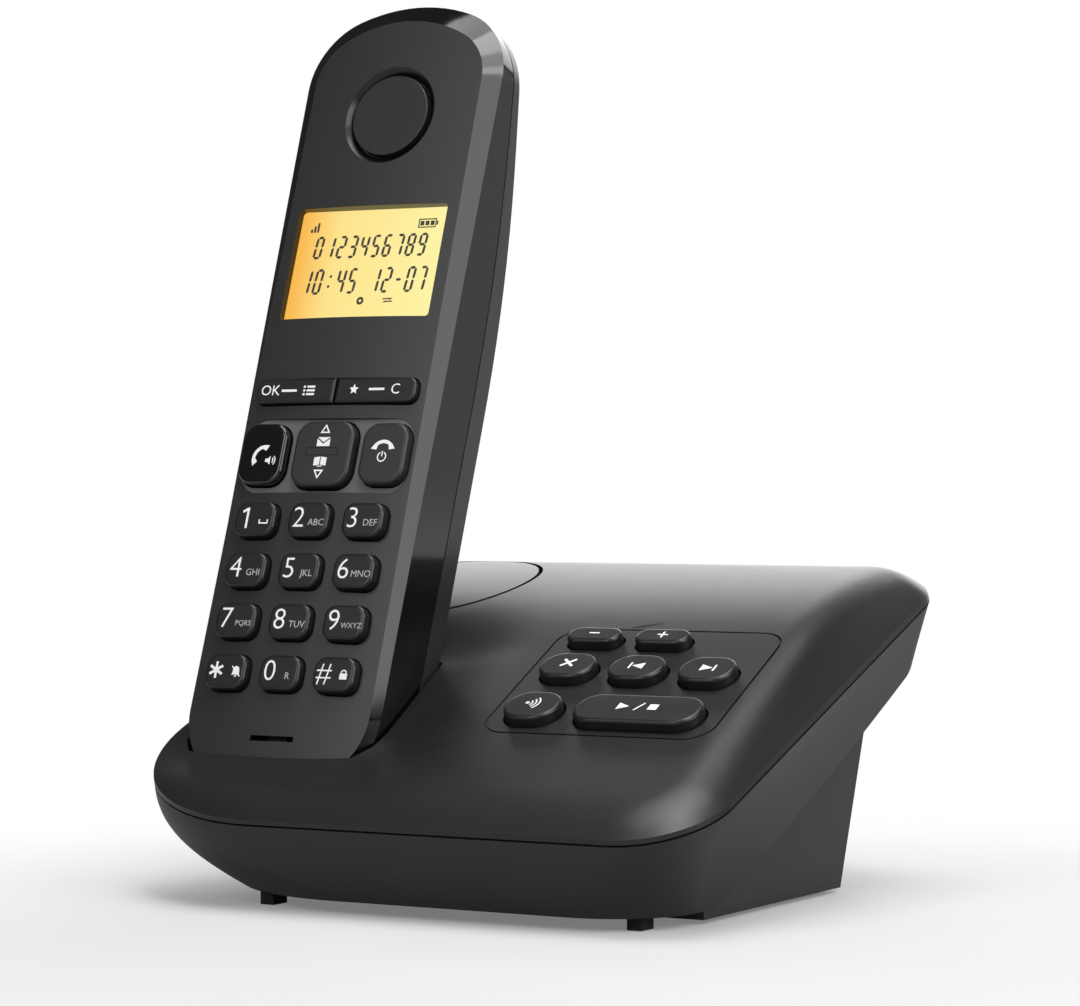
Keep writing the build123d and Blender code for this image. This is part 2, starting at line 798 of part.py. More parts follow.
# Loudspeaker under its round cover
speaker_spot = Pos(speaker_across, speaker_along, 0)
cover_layer = top_field - place(top_field, 0, 0, -speaker_cover_thickness)
cover_bore = speaker_spot * rod(speaker_radius + speaker_line, -base_depth, base_depth)
cover_body = speaker_spot * rod(speaker_radius, -base_depth, base_depth)
seat_ring = speaker_spot * (rod(speaker_radius + speaker_line + speaker_ledge, -base_depth, base_depth)
                            - rod(speaker_radius - speaker_ledge, -base_depth, base_depth))
seat_layer = place(top_field, 0, 0, -speaker_cover_thickness) - place(
    top_field, 0, 0, -speaker_cover_thickness - speaker_ledge_thickness)
top_shell = top_shell - cover_bore + (seat_layer & seat_ring)
parts["speaker_cover"] = seam_place * (cover_layer & cover_body)
loudspeaker_top = place(top_field, 0, 0, -speaker_cover_thickness - speaker_ledge_thickness)
loudspeaker_low = slope_height(speaker_along + loudspeaker_radius) - base_wall - loudspeaker_depth
loudspeaker = speaker_spot * rod(loudspeaker_radius + speaker_ledge, loudspeaker_low, base_depth)
parts["loudspeaker"] = seam_place * (loudspeaker & loudspeaker_top)

# Sockets in the rear face of the stand
back_lean = radians(stand_lean)
socket_rear = stand_rear + (socket_height - pad_height) * tan(back_lean)
for name, across, width, tall, depth in (
        ("line_socket", line_socket_across, line_socket_width, line_socket_tall, line_socket_depth),
        ("power_socket", power_socket_across, power_socket_width, power_socket_tall, power_socket_depth)):
    spot = Plane((across, socket_rear, socket_height), (1, 0, 0), (0, cos(back_lean), -sin(back_lean))).location
    housing = prism(Rectangle(width, tall), -depth, -socket_sink)
    if name == "line_socket":
        mouth = prism(Rectangle(line_opening_width, line_opening_tall), -line_opening_depth, overrun)
    else:
        mouth = rod(power_opening_radius, -power_opening_depth, overrun)
        mouth = mouth - rod(power_pin_radius, -power_opening_depth, -socket_sink - power_pin_radius)
    bottom_shell = bottom_shell - spot * prism(Rectangle(width, tall), -depth, overrun)
    parts[name] = spot * (housing - mouth)

# Screws from below, through columns of the bottom shell into bosses of the top shell
screw_spots = ((screw_across_left, screw_front), (screw_across_left, screw_rear), (screw_across_right, screw_rear))
well = pad_height + screw_well_depth
seat = well + screw_head_height
column_top = seat + base_wall
for number, (across, along) in enumerate(screw_spots):
    spot = Pos(across, along, 0)
    column = spot * rod(boss_radius, pad_height, column_top)
    bore = spot * rod(screw_radius + screw_well_gap, 0, column_top + overrun)
    head_room = spot * rod(screw_head_radius + screw_well_gap, 0, seat)
    bottom_shell = bottom_shell + column - bore - head_room
    boss = rod(boss_radius, column_top + boss_gap, base_depth)
    boss = boss - rod(screw_radius + boss_gap, 0, well + screw_reach + boss_gap)
    top_shell = top_shell + ((seam_place.inverse() * (spot * boss)) & top_field)
    screw = rod(screw_head_radius, well, seat) + rod(screw_radius, well, well + screw_reach)
    parts["base_screw_" + str(number + 1)] = spot * screw

# Rubber feet at the front and pads under the stand
for name, across in (("front_foot_left", foot_left), ("front_foot_right", foot_right)):
    parts[name] = block(across - foot_width / 2, across + foot_width / 2, foot_front,
                        foot_front + foot_length, 0, floor_gap)
for name, across in (("rear_pad_left", stand_left + pad_inset), ("rear_pad_right", stand_right - pad_inset)):
    parts[name] = Pos(across, stand_rear - pad_inset, 0) * rod(pad_radius, 0, pad_height)

parts["base_top_shell"] = seam_place * top_shell
parts["base_bottom_shell"] = bottom_shell

# The origin lies under the middle of the whole object, on the floor that the feet stand on
box = Compound(list(parts.values())).bounding_box()
shift = Pos(-box.center().X, -box.center().Y, 0)
print("origin moved by", shift.position)
os.makedirs("parts", exist_ok=True)
for name, part in parts.items():
    solid = shift * part
    print(name, round(solid.volume), len(solid.solids()), solid.is_valid)
    export_step(solid, "parts/" + name + ".step")
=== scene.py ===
import bpy
import math
from mathutils import Matrix, Vector


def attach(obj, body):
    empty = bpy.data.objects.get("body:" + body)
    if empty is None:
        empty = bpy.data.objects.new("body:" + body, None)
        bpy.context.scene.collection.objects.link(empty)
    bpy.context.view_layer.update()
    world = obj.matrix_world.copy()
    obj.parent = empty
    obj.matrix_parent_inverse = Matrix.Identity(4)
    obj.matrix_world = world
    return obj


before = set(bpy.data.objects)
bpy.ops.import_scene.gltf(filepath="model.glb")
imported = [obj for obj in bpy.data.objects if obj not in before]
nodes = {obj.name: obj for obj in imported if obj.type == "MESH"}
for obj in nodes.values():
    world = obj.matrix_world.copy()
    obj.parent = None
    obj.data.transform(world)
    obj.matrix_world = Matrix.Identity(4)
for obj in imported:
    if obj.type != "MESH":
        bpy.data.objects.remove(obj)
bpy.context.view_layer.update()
scene = bpy.context.scene
mm = 0.001
print("frame loaded:", len(nodes), "solids")


# sRGB hex code to the linear colour that shaders take
def linear(code):
    channels = [int(code[start:start + 2], 16) / 255 for start in (1, 3, 5)]
    return [c / 12.92 if c <= 0.04045 else ((c + 0.055) / 1.055) ** 2.4 for c in channels] + [1.0]


# a node with its settings (sockets or properties) and its links (socket: (node, output))
def addNode(tree, kind, settings=None, links=None):
    node = tree.nodes.new(kind)
    for name, value in (settings or {}).items():
        if isinstance(name, int) or name in node.inputs:
            node.inputs[name].default_value = value
        else:
            setattr(node, name, value)
    for name, (source, output) in (links or {}).items():
        tree.links.new(source.outputs[output], node.inputs[name])
    return node


# a new material with an empty tree, its surface output and object coordinates
def newFinish(name):
    material = bpy.data.materials.new(name)
    material.use_nodes = True
    tree = material.node_tree
    tree.nodes.clear()
    output = addNode(tree, "ShaderNodeOutputMaterial")
    place = addNode(tree, "ShaderNodeTexCoord")
    return material, tree, output, place


# colour sockets of a Mix node: its two inputs and its output
mixA, mixB, mixOut = 6, 7, 2
# noise detail of fine grit and of slow drifts
gritDetail, driftDetail = 3.0, 2.0
# clear coat of a look that names none
plainCoat = {"weight": 0.0, "rough": 0.1}


# pattern of a moulded skin: eroded-mould grit as bump and a slow drift of shade
def mouldedPattern(tree, place, look):
    grit = addNode(tree, "ShaderNodeTexNoise", {"Scale": 1 / (look["gritMm"] * mm), "Detail": gritDetail},
                   {"Vector": (place, "Object")})
    drift = addNode(tree, "ShaderNodeTexNoise", {"Scale": 1 / (look["driftMm"] * mm), "Detail": driftDetail},
                    {"Vector": (place, "Object")})
    shade = addNode(tree, "ShaderNodeMix", {"data_type": "RGBA", mixA: linear(look["dark"]),
                    mixB: linear(look["light"])}, {0: (drift, "Fac")})
    bump = addNode(tree, "ShaderNodeBump", {"Strength": look["bump"], "Distance": look["bumpMm"] * mm},
                   {"Height": (grit, "Fac")})
    return drift, shade, bump


# moulded plastic or rubber: the pattern above, with the gloss drifting too
def mouldedFinish(name, look):
    material, tree, output, place = newFinish(name)
    drift, shade, bump = mouldedPattern(tree, place, look)
    rough = addNode(tree, "ShaderNodeMapRange", {"To Min": look["rough"] - look["roughSpread"],
                    "To Max": look["rough"] + look["roughSpread"]}, {"Value": (drift, "Fac")})
    skin = addNode(tree, "ShaderNodeBsdfPrincipled", {"IOR": look["ior"],
                   "Coat Weight": look.get("coat", plainCoat["weight"]),
                   "Coat Roughness": look.get("coatRough", plainCoat["rough"])},
                   {"Base Color": (shade, mixOut), "Roughness": (rough, "Result"), "Normal": (bump, "Normal")})
    tree.links.new(skin.outputs["BSDF"], output.inputs["Surface"])
    return material


def paint(material, *names):
    for name in names:
        solid = nodes[name]
        solid.data.materials.clear()
        solid.data.materials.append(material)


# grit sizes are drawn coarser than a real mould's 0.1 mm or less, so that they show
# satin ABS from a spark-eroded mould: dark, even, a broad soft sheen
baseTopLook = {"dark": "#1b1b1b", "light": "#1f1f1f", "rough": 0.36, "roughSpread": 0.02, "gritMm": 0.35,
               "driftMm": 30, "bump": 0.10, "bumpMm": 0.02, "ior": 1.53}
# the hull is the same ABS with a coarser, duller texture
hullLook = {"dark": "#212121", "light": "#252525", "rough": 0.46, "roughSpread": 0.03, "gritMm": 0.45,
            "driftMm": 30, "bump": 0.14, "bumpMm": 0.03, "ior": 1.53}
# polished ABS of the handset's back and sides: dark grey with a clear sheen
rearLook = {"dark": "#262626", "light": "#2a2a2a", "rough": 0.28, "roughSpread": 0.03, "gritMm": 0.4,
            "driftMm": 25, "bump": 0.05, "bumpMm": 0.02, "ior": 1.53}
# lacquered key tops with a soft sheen
keyLook = {"dark": "#1a1a1a", "light": "#1f1f1f", "rough": 0.30, "roughSpread": 0.03, "gritMm": 0.3,
           "driftMm": 4, "bump": 0.06, "bumpMm": 0.02, "ior": 1.5}
# piano-black lacquer of the talk key: deep and glossy under a clear coat
glossKeyLook = {"dark": "#0e0e0e", "light": "#131313", "rough": 0.14, "roughSpread": 0.02, "gritMm": 0.5,
                "driftMm": 5, "bump": 0.03, "bumpMm": 0.02, "ior": 1.5, "coat": 0.5, "coatRough": 0.06}
# satin lacquer of the rocker and the end key: greyer, no sharp reflections
satinKeyLook = {"dark": "#242424", "light": "#292929", "rough": 0.38, "roughSpread": 0.03, "gritMm": 0.3,
                "driftMm": 5, "bump": 0.06, "bumpMm": 0.02, "ior": 1.5}
# satin ABS disc over the earpiece: as even as the face round it
earLook = {"dark": "#1f1f1f", "light": "#242424", "rough": 0.38, "roughSpread": 0.02, "gritMm": 0.35,
           "driftMm": 20, "bump": 0.10, "bumpMm": 0.02, "ior": 1.53}
# nitrile rubber feet: dull, a little dusty
footLook = {"dark": "#161616", "light": "#202020", "rough": 0.75, "roughSpread": 0.08, "gritMm": 0.5,
            "driftMm": 3, "bump": 0.35, "bumpMm": 0.05, "ior": 1.5}
# glass-filled nylon of sockets, speaker frames and microphone cans: black and dull
housingLook = {"dark": "#121212", "light": "#1a1a1a", "rough": 0.55, "roughSpread": 0.06, "gritMm": 0.3,
               "driftMm": 6, "bump": 0.25, "bumpMm": 0.03, "ior": 1.53}
# moulded silicone of the key mats: pale grey and soft, with little shine
matLook = {"dark": "#7d8080", "light": "#8d9090", "rough": 0.6, "roughSpread": 0.05, "gritMm": 0.6,
           "driftMm": 8, "bump": 0.1, "bumpMm": 0.03, "ior": 1.41}
# shrink sleeve of the cells: plain green film with a light gloss
sleeveLook = {"dark": "#3f6b46", "light": "#47754e", "rough": 0.28, "roughSpread": 0.04, "gritMm": 0.8,
              "driftMm": 10, "bump": 0.08, "bumpMm": 0.03, "ior": 1.5, "coat": 0.3}

baseTopFinish = mouldedFinish("satinAbsTop", baseTopLook)
hullFinish = mouldedFinish("erodedAbsHull", hullLook)
rearFinish = mouldedFinish("polishedAbsBack", rearLook)
keyFinish = mouldedFinish("lacqueredKey", keyLook)
glossKeyFinish = mouldedFinish("pianoBlackKey", glossKeyLook)
satinKeyFinish = mouldedFinish("satinKey", satinKeyLook)
earFinish = mouldedFinish("satinAbsEarpiece", earLook)
footFinish = mouldedFinish("nitrileFoot", footLook)
housingFinish = mouldedFinish("filledNylonHousing", housingLook)
matFinish = mouldedFinish("siliconeMat", matLook)
sleeveFinish = mouldedFinish("shrinkSleeve", sleeveLook)

# handset frame: across, up its length, and out of its face
lean = math.radians(19.1)
handsetFoot = Vector((-38.4, -33.842, 21.3)) * mm
handsetUp = Vector((0, math.sin(lean), math.cos(lean)))
handsetOut = Vector((0, -math.cos(lean), math.sin(lean)))
# answering key panel frame on the base
panelTilt = math.radians(27)
panelMiddle = Vector((31.8, -13.105, 42.582)) * mm
panelUp = Vector((0, math.cos(panelTilt), math.sin(panelTilt)))
panelOut = Vector((0, -math.sin(panelTilt), math.cos(panelTilt)))


def frameMatrix(origin, up, out):
    right = up.cross(out)
    turn = Matrix((right, up, out)).transposed().to_4x4()
    return Matrix.Translation(origin) @ turn


handsetFrame = frameMatrix(handsetFoot, handsetUp, handsetOut)
panelFrame = frameMatrix(panelMiddle, panelUp, panelOut)

# the handset's front: satin face plate, a painted reflection that colours the recess round the rocker paler, a
# polished rim where the surface turns away
faceLook = {"dark": "#232323", "light": "#282828", "rim": "#0b0b0b", "paintedTrayReflection": "#5e5e5e", "faceRough": 0.40,
            "rimRough": 0.10, "gritMm": 0.35, "driftMm": 35, "bump": 0.10, "bumpMm": 0.02, "ior": 1.53,
            "facing": 0.955, "trayMiddle": 68, "trayHalf": (19.5, 7.8), "trayRound": 4.5, "trayShallow": -0.4,
            "trayDeep": -1.0, "earAlong": 141.8, "earReach": 11.2, "earRough": 0.28}


def faceFinish(look):
    material, tree, output, place = newFinish("satinAbsFace")
    shade, bump = mouldedPattern(tree, place, look)[1:]
    facingOut = addNode(tree, "ShaderNodeVectorMath", {"operation": "DOT_PRODUCT", 1: handsetOut},
                        {0: (place, "Normal")})
    onFace = addNode(tree, "ShaderNodeMath", {"operation": "GREATER_THAN", 1: look["facing"]},
                     {0: (facingOut, "Value")})
    # place along the handset and out of its face
    along = addNode(tree, "ShaderNodeVectorMath", {"operation": "DOT_PRODUCT", 1: handsetUp},
                    {0: (place, "Object")})
    deep = addNode(tree, "ShaderNodeVectorMath", {"operation": "DOT_PRODUCT", 1: handsetOut},
                   {0: (place, "Object")})
    upFoot, outFoot = handsetFoot.dot(handsetUp), handsetFoot.dot(handsetOut)
    # recess round the rocker: inside a rectangle with round corners, at the depth of its floor; this is where the
    # painted reflection goes
    split = addNode(tree, "ShaderNodeSeparateXYZ", None, {0: (place, "Object")})
    flat = addNode(tree, "ShaderNodeCombineXYZ", None, {"X": (split, "X"), "Y": (along, "Value")})
    trayCentre = (handsetFoot.x, upFoot + look["trayMiddle"] * mm, 0)
    square = [(half - look["trayRound"]) * mm for half in look["trayHalf"]] + [0]
    shifted = addNode(tree, "ShaderNodeVectorMath", {"operation": "SUBTRACT", 1: trayCentre}, {0: (flat, 0)})
    quarter = addNode(tree, "ShaderNodeVectorMath", {"operation": "ABSOLUTE"}, {0: (shifted, 0)})
    beyond = addNode(tree, "ShaderNodeVectorMath", {"operation": "SUBTRACT", 1: square}, {0: (quarter, 0)})
    outside = addNode(tree, "ShaderNodeVectorMath", {"operation": "MAXIMUM", 1: (0, 0, 0)}, {0: (beyond, 0)})
    reach = addNode(tree, "ShaderNodeVectorMath", {"operation": "LENGTH"}, {0: (outside, 0)})
    inOutline = addNode(tree, "ShaderNodeMath", {"operation": "LESS_THAN", 1: look["trayRound"] * mm},
                        {0: (reach, "Value")})
    inDepth = addNode(tree, "ShaderNodeMath", {"operation": "COMPARE",
                      1: outFoot + (look["trayShallow"] + look["trayDeep"]) / 2 * mm,
                      2: (look["trayShallow"] - look["trayDeep"]) / 2 * mm}, {0: (deep, "Value")})
    trayReflectionMask = addNode(tree, "ShaderNodeMath", {"operation": "MULTIPLY"}, {0: (inOutline, 0), 1: (inDepth, 0)})
    # painted reflection: the recess floor round the rocker is coloured paler to stand for the light that it catches
    plate = addNode(tree, "ShaderNodeMix", {"data_type": "RGBA", mixB: linear(look["paintedTrayReflection"])},
                    {0: (trayReflectionMask, 0), mixA: (shade, mixOut)})
    colour = addNode(tree, "ShaderNodeMix", {"data_type": "RGBA", mixA: linear(look["rim"])},
                     {0: (onFace, 0), mixB: (plate, mixOut)})
    # the ring round the earpiece is less polished than the rim
    earMiddle = handsetFoot + handsetUp * look["earAlong"] * mm
    fromEar = addNode(tree, "ShaderNodeVectorMath", {"operation": "DISTANCE", 1: earMiddle},
                      {0: (place, "Object")})
    atEar = addNode(tree, "ShaderNodeMath", {"operation": "LESS_THAN", 1: look["earReach"] * mm},
                    {0: (fromEar, "Value")})
    rimRough = addNode(tree, "ShaderNodeMapRange", {"To Min": look["rimRough"], "To Max": look["earRough"]},
                       {"Value": (atEar, 0)})
    rough = addNode(tree, "ShaderNodeMapRange", {"To Max": look["faceRough"]},
                    {"Value": (onFace, 0), "To Min": (rimRough, "Result")})
    skin = addNode(tree, "ShaderNodeBsdfPrincipled", {"IOR": look["ior"]},
                   {"Base Color": (colour, mixOut), "Roughness": (rough, "Result"), "Normal": (bump, "Normal")})
    tree.links.new(skin.outputs["BSDF"], output.inputs["Surface"])
    return material


# amber backlight: deep orange at the left edge by the lamp, pale yellow beyond it
amberLook = {"edge": "#fbbd55", "near": "#ffe591", "far": "#fff7ac", "edgeShare": 0.02, "nearShare": 0.26,
             "unlit": "#120d05", "rough": 0.6, "ior": 1.49, "glow": 1.0, "driftMm": 9, "driftLow": 0.98,
             "driftHigh": 1.01, "left": -56.5, "right": -20.5}


def amberFinish(look):
    material, tree, output, place = newFinish("amberBacklight")
    split = addNode(tree, "ShaderNodeSeparateXYZ", None, {0: (place, "Object")})
    across = addNode(tree, "ShaderNodeMapRange", {"From Min": look["left"] * mm, "From Max": look["right"] * mm},
                     {"Value": (split, "X")})
    ramp = addNode(tree, "ShaderNodeValToRGB", None, {"Fac": (across, "Result")})
    stops = ramp.color_ramp.elements
    stops[0].position = look["edgeShare"]
    stops[0].color = linear(look["edge"])
    stops[1].position = 1.0
    stops[1].color = linear(look["far"])
    middle = stops.new(look["nearShare"])
    middle.color = linear(look["near"])
    speck = addNode(tree, "ShaderNodeTexNoise", {"Scale": 1 / (look["driftMm"] * mm)},
                    {"Vector": (place, "Object")})
    drift = addNode(tree, "ShaderNodeMapRange", {"To Min": look["driftLow"], "To Max": look["driftHigh"]},
                    {"Value": (speck, "Fac")})
    tint = addNode(tree, "ShaderNodeVectorMath", {"operation": "SCALE"},
                   {0: (ramp, "Color"), "Scale": (drift, "Result")})
    skin = addNode(tree, "ShaderNodeBsdfPrincipled", {"Roughness": look["rough"], "IOR": look["ior"],
                   "Base Color": linear(look["unlit"]), "Specular IOR Level": 0.0,
                   "Emission Strength": look["glow"]}, {"Emission Color": (tint, 0)})
    tree.links.new(skin.outputs["BSDF"], output.inputs["Surface"])
    return material


# polycarbonate display window: clear, with a faint haze; its IOR is set low, so that it mirrors little
lensLook = {"tint": "#fffdf6", "ior": 1.2, "hazeMm": 6, "clear": 0.02, "hazy": 0.05}


def lensFinish(look):
    material, tree, output, place = newFinish("clearPolycarbonate")
    haze = addNode(tree, "ShaderNodeTexNoise", {"Scale": 1 / (look["hazeMm"] * mm)}, {"Vector": (place, "Object")})
    rough = addNode(tree, "ShaderNodeMapRange", {"To Min": look["clear"], "To Max": look["hazy"]},
                    {"Value": (haze, "Fac")})
    skin = addNode(tree, "ShaderNodeBsdfPrincipled", {"Base Color": linear(look["tint"]), "IOR": look["ior"],
                   "Transmission Weight": 1.0}, {"Roughness": (rough, "Result")})
    tree.links.new(skin.outputs["BSDF"], output.inputs["Surface"])
    return material


# metal with drawn lines along one axis: nickel-plated contacts and zinc-plated screws
metalLooks = {
    "nickelContact": {"dark": "#a79b84", "light": "#cbbfa6", "smooth": 0.20, "rough": 0.34, "lineMm": 0.3},
    "zincScrew": {"dark": "#8d9196", "light": "#adb1b5", "smooth": 0.28, "rough": 0.42, "lineMm": 0.5},
}
drawnStretch = (1.0, 1.0, 0.08)


def metalFinish(name):
    look = metalLooks[name]
    material, tree, output, place = newFinish(name)
    stretch = addNode(tree, "ShaderNodeMapping", {"Scale": drawnStretch}, {"Vector": (place, "Object")})
    lines = addNode(tree, "ShaderNodeTexNoise", {"Scale": 1 / (look["lineMm"] * mm), "Detail": driftDetail},
                    {"Vector": (stretch, 0)})
    shade = addNode(tree, "ShaderNodeMix", {"data_type": "RGBA", mixA: linear(look["dark"]),
                    mixB: linear(look["light"])}, {0: (lines, "Fac")})
    rough = addNode(tree, "ShaderNodeMapRange", {"To Min": look["smooth"], "To Max": look["rough"]},
                    {"Value": (lines, "Fac")})
    skin = addNode(tree, "ShaderNodeBsdfPrincipled", {"Metallic": 1.0},
                   {"Base Color": (shade, mixOut), "Roughness": (rough, "Result")})
    tree.links.new(skin.outputs["BSDF"], output.inputs["Surface"])
    return material


# green solder mask over a faint grid of copper tracks
boardLook = {"mask": "#14512c", "track": "#2a7344", "pitchMm": 2.54, "trackShare": 0.06, "speckMm": 1.2,
             "smooth": 0.30, "rough": 0.45, "ior": 1.5}


def boardFinish(look):
    material, tree, output, place = newFinish("solderMask")
    cells = addNode(tree, "ShaderNodeTexBrick", {"Scale": 1 / (look["pitchMm"] * mm),
                    "Mortar Size": look["trackShare"], "Color1": linear(look["mask"]),
                    "Color2": linear(look["mask"]), "Mortar": linear(look["track"])}, {"Vector": (place, "Object")})
    speck = addNode(tree, "ShaderNodeTexNoise", {"Scale": 1 / (look["speckMm"] * mm)},
                    {"Vector": (place, "Object")})
    rough = addNode(tree, "ShaderNodeMapRange", {"To Min": look["smooth"], "To Max": look["rough"]},
                    {"Value": (speck, "Fac")})
    skin = addNode(tree, "ShaderNodeBsdfPrincipled", {"IOR": look["ior"]},
                   {"Base Color": (cells, "Color"), "Roughness": (rough, "Result")})
    tree.links.new(skin.outputs["BSDF"], output.inputs["Surface"])
    return material


# screen-printed ink: opaque, slightly uneven where it is thin; the near-black one is dark print on the base and
# painted groove shade on the rocker
inkLooks = {
    "whiteKeyInk": {"bright": "#f7f7f5", "thin": "#e9e9e6", "rough": 0.45},
    "greyKeyInk": {"bright": "#b9bab9", "thin": "#a3a4a3", "rough": 0.5},
    "darkPrintAndGrooveShadeInk": {"bright": "#040404", "thin": "#080808", "rough": 0.6},
    "liquidCrystalSegment": {"bright": "#17130a", "thin": "#241c0c", "rough": 0.4},
}
inkGrain = {"coverMm": 0.5, "ior": 1.5}


def inkFinish(name):
    look = inkLooks[name]
    material, tree, output, place = newFinish(name)
    cover = addNode(tree, "ShaderNodeTexNoise", {"Scale": 1 / (inkGrain["coverMm"] * mm), "Detail": driftDetail},
                    {"Vector": (place, "Object")})
    shade = addNode(tree, "ShaderNodeMix", {"data_type": "RGBA", mixA: linear(look["thin"]),
                    mixB: linear(look["bright"])}, {0: (cover, "Fac")})
    skin = addNode(tree, "ShaderNodeBsdfPrincipled", {"IOR": inkGrain["ior"], "Roughness": look["rough"]},
                   {"Base Color": (shade, mixOut)})
    tree.links.new(skin.outputs["BSDF"], output.inputs["Surface"])
    return material


whiteInk = inkFinish("whiteKeyInk")
greyInk = inkFinish("greyKeyInk")
darkPrintAndGrooveShade = inkFinish("darkPrintAndGrooveShadeInk")
liquidCrystal = inkFinish("liquidCrystalSegment")
amberGlow = amberFinish(amberLook)

numberKeys = ["key_1", "key_2", "key_3", "key_4", "key_5", "key_6", "key_7", "key_8", "key_9",
              "key_star", "key_0", "key_hash"]
answerKeys = ["volume_down_key", "volume_up_key", "delete_key", "back_key", "forward_key", "paging_key",
              "play_stop_key"]
paint(faceFinish(faceLook), "handset_front_shell")
paint(rearFinish, "handset_rear_shell", "battery_door")
paint(keyFinish, *numberKeys, *answerKeys, "left_soft_key", "right_soft_key")
paint(glossKeyFinish, "talk_key")
paint(satinKeyFinish, "end_key", "navigation_key")
paint(lensFinish(lensLook), "display_window")
paint(amberGlow, "display_panel")
paint(earFinish, "earpiece_cap")
paint(housingFinish, "earpiece_speaker", "microphone", "ringer", "loudspeaker", "line_socket", "power_socket")
paint(matFinish, "handset_key_mat", "base_key_mat")
paint(boardFinish(boardLook), "handset_circuit_board", "base_circuit_board")
paint(sleeveFinish, "battery_left", "battery_right")
paint(metalFinish("nickelContact"), "battery_spring_plate", "battery_tip_plate", "handset_contact_left",
      "handset_contact_right", "charging_pin_left", "charging_pin_right")
paint(metalFinish("zincScrew"), "base_screw_1", "base_screw_2", "base_screw_3")
paint(baseTopFinish, "base_top_shell", "speaker_cover")
paint(hullFinish, "base_bottom_shell")
paint(footFinish, "front_foot_left", "front_foot_right", "rear_pad_left", "rear_pad_right")
print("finishes on all solids")

# printed marks: flat curves and text, given a film thickness, made mesh and laid on their key
printFilm = 0.02
textSteps = 3
bpy.ops.object.select_all(action="DESELECT")


def layPrint(piece, name, sheet, spot, body, ink):
    bpy.ops.object.select_all(action="DESELECT")
    bpy.context.view_layer.objects.active = piece
    piece.select_set(True)
    bpy.ops.object.convert(target="MESH")
    piece = bpy.context.object
    piece.name = name
    piece.data.transform(sheet @ Matrix.Translation(Vector(spot) * mm) @ Matrix.Scale(mm, 4))
    piece.data.materials.clear()
    piece.data.materials.append(ink)
    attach(piece, body)


def textPrint(name, words, size, sheet, spot, body, ink, thin=0.0):
    bpy.ops.object.text_add()
    piece = bpy.context.object
    piece.data.body = words
    piece.data.size = size
    piece.data.align_x = "CENTER"
    piece.data.align_y = "CENTER"
    piece.data.extrude = printFilm / 2
    piece.data.resolution_u = textSteps
    piece.data.offset = thin
    layPrint(piece, name, sheet, spot, body, ink)


def shapePrint(name, outlines, sheet, spot, body, ink):
    bpy.ops.object.add(type="CURVE")
    piece = bpy.context.object
    curve = piece.data
    curve.name = name
    curve.dimensions = "2D"
    curve.fill_mode = "BOTH"
    curve.extrude = printFilm / 2
    for outline in outlines:
        spline = curve.splines.new("POLY")
        spline.points.add(len(outline) - 1)
        for point, (x, y) in zip(spline.points, outline):
            point.co = (x, y, 0, 1)
        spline.use_cyclic_u = True
    layPrint(piece, name, sheet, spot, body, ink)


# a group of marks on one sheet, each riding on its own key or body
def printMarks(marks, sheet, level, ink):
    for name, mark in marks.items():
        spot = (*mark["at"], level + mark.get("lift", 0))
        if "words" in mark:
            textPrint(name, mark["words"], mark["size"], sheet, spot, mark["on"], mark.get("ink", ink))
        else:
            shapePrint(name, mark["outline"], sheet, spot, mark["on"], mark.get("ink", ink))


# outlines of the marks, in millimetres
def bar(x, y, width, height):
    return [(x - width / 2, y - height / 2), (x + width / 2, y - height / 2),
            (x + width / 2, y + height / 2), (x - width / 2, y + height / 2)]


def arcPoints(x, y, radius, start, end, steps=14):
    angles = [math.radians(start + (end - start) * step / steps) for step in range(steps + 1)]
    return [(x + radius * math.cos(angle), y + radius * math.sin(angle)) for angle in angles]


def arcBand(x, y, inner, outer, start, end):
    return arcPoints(x, y, outer, start, end) + arcPoints(x, y, inner, end, start)


def disc(x, y, radius, points=24):
    return arcPoints(x, y, radius, 0, 360 - 360 / points, points - 1)


def turned(outlines, angle):
    c, s = math.cos(math.radians(angle)), math.sin(math.radians(angle))
    return [[(x * c - y * s, x * s + y * c) for x, y in outline] for outline in outlines]


# a ring of points, each given as an angle from the top and a reach
def spokes(points):
    return [(math.cos(math.radians(90 + angle)) * reach, math.sin(math.radians(90 + angle)) * reach)
            for angle, reach in points]


# a telephone receiver lying level: an arch with an ear at each end
def receiver(size):
    arch = arcPoints(0, -1.75 * size, 2.35 * size, 148, 32)
    inner = arcPoints(0, -1.75 * size, 1.75 * size, 54, 126)
    rightEar = [(2.3 * size, -0.95 * size), (1.2 * size, -1.1 * size)]
    leftEar = [(-1.2 * size, -1.1 * size), (-2.3 * size, -0.95 * size)]
    return arch + rightEar + inner + leftEar


def triangle(x, y, half, height):
    return [(x - half, y), (x + half, y), (x, y + height)]


speakerMark = [[(-1.0, -0.35), (-0.45, -0.35), (0.15, -0.9), (0.15, 0.9), (-0.45, 0.35), (-1.0, 0.35)],
               arcBand(0.1, 0, 0.62, 0.84, -42, 42), arcBand(0.1, 0, 1.12, 1.34, -46, 46)]
powerMark = [arcBand(0, 0, 0.82, 1.08, -242, 62), bar(0, 0.62, 0.26, 1.1)]
envelopeMark = [[(-1.5, 0.95), (1.5, 0.95), (0, -0.12)],
                [(-1.5, 0.62), (0, -0.46), (1.5, 0.62), (1.5, -0.95), (-1.5, -0.95)]]
bookMark = [[(-1.45, 0.75), (-0.12, 0.95), (-0.12, -0.75), (-1.45, -0.95)],
            [(1.45, 0.75), (0.12, 0.95), (0.12, -0.75), (1.45, -0.95)], bar(0, -1.05, 1.1, 0.2)]
listLevels = (-0.8, 0, 0.8)
listMark = [bar(-1.2, level, 0.5, 0.45) for level in listLevels]
listMark += [bar(0.35, level, 1.9, 0.45) for level in listLevels]
spaceMark = [[(-1.1, 0.5), (-1.1, -0.4), (1.1, -0.4), (1.1, 0.5), (0.82, 0.5), (0.82, -0.12), (-0.82, -0.12),
              (-0.82, 0.5)]]
